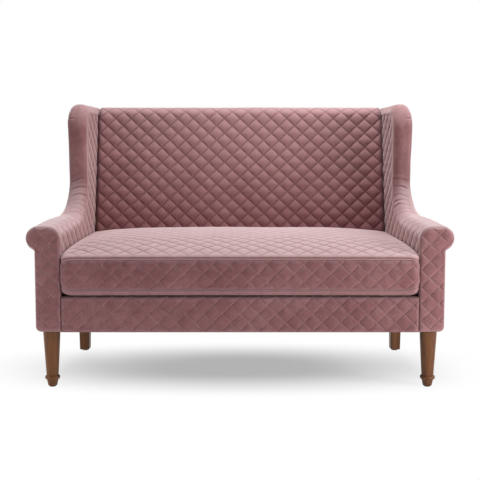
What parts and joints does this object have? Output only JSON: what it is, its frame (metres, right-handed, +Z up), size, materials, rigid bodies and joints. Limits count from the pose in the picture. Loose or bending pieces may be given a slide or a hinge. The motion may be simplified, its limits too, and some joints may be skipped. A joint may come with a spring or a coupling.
{
  "type": "two-seater sofa",
  "caption": "High-backed two-seater sofa in diamond-quilted velvet, with wings that sweep into rolled arms, a loose seat cushion and turned wooden legs.",
  "frame": {"origin": "on the floor, under the middle of the whole sofa", "axes": "+X across the seat to the viewer's right, +Y from the front to the back, +Z up"},
  "size_m": [1.4524, 0.7872, 0.9781],
  "materials": {
    "velvet": "dusty pink velvet with a soft sheen",
    "frame_timber": "planed pine, unfinished",
    "plywood": "sawn plywood",
    "foam": "upholstery foam",
    "webbing": "woven elastic strap",
    "lining": "matt lining cloth",
    "leg_wood": "brown satin lacquer",
    "steel": "zinc plated",
    "plastic": "moulded, matt"
  },
  "bodies": {
    "frame": {"back_foam": "foam", "back_lower_rail": "frame_timber", "back_rail": "frame_timber", "back_stays": "frame_timber", "back_top_rail": "frame_timber", "back_webbing": "webbing", "deck_cover": "lining", "deck_pad": "foam", "dust_cover": "lining", "front_border": "velvet", "front_pad": "foam", "front_rail": "frame_timber", "inside_back": "velvet", "left_arm_facing": "velvet", "left_arm_pad": "foam", "left_arm_post": "plywood", "left_arm_rail": "frame_timber", "left_back_block": "frame_timber", "left_back_leg": "leg_wood", "left_back_post": "frame_timber", "left_front_block": "frame_timber", "left_front_leg": "leg_wood", "left_inside_arm": "velvet", "left_outside_arm": "velvet", "left_roll_pad": "foam", "left_side_rail": "frame_timber", "left_wing_board": "plywood", "left_wing_facing": "velvet", "leg_bolts": "steel", "leg_glides": "plastic", "leg_inserts": "steel", "outside_back": "velvet", "post_screws": "steel", "right_arm_facing": "velvet", "right_arm_pad": "foam", "right_arm_post": "plywood", "right_arm_rail": "frame_timber", "right_back_block": "frame_timber", "right_back_leg": "leg_wood", "right_back_post": "frame_timber", "right_front_block": "frame_timber", "right_front_leg": "leg_wood", "right_inside_arm": "velvet", "right_outside_arm": "velvet", "right_roll_pad": "foam", "right_side_rail": "frame_timber", "right_wing_board": "plywood", "right_wing_facing": "velvet", "seat_stretchers": "frame_timber", "seat_webbing": "webbing", "spring_rail": "frame_timber"},
    "cushion": {"cushion_cover": "velvet", "cushion_foam": "foam", "zip_tape": "webbing", "zip_coil": "plastic"},
    "zip_slider": {"zip_slider": "steel"}
  },
  "joints": [
    {"name": "cushion_lift", "type": "slide", "parent": "frame", "child": "cushion", "axis": [0, 0, 1], "range_m": [0, 0.7]},
    {"name": "zip_slide", "type": "slide", "parent": "cushion", "child": "zip_slider", "axis": [1, 0, 0], "range_m": [0, 0.86]}
  ]
}
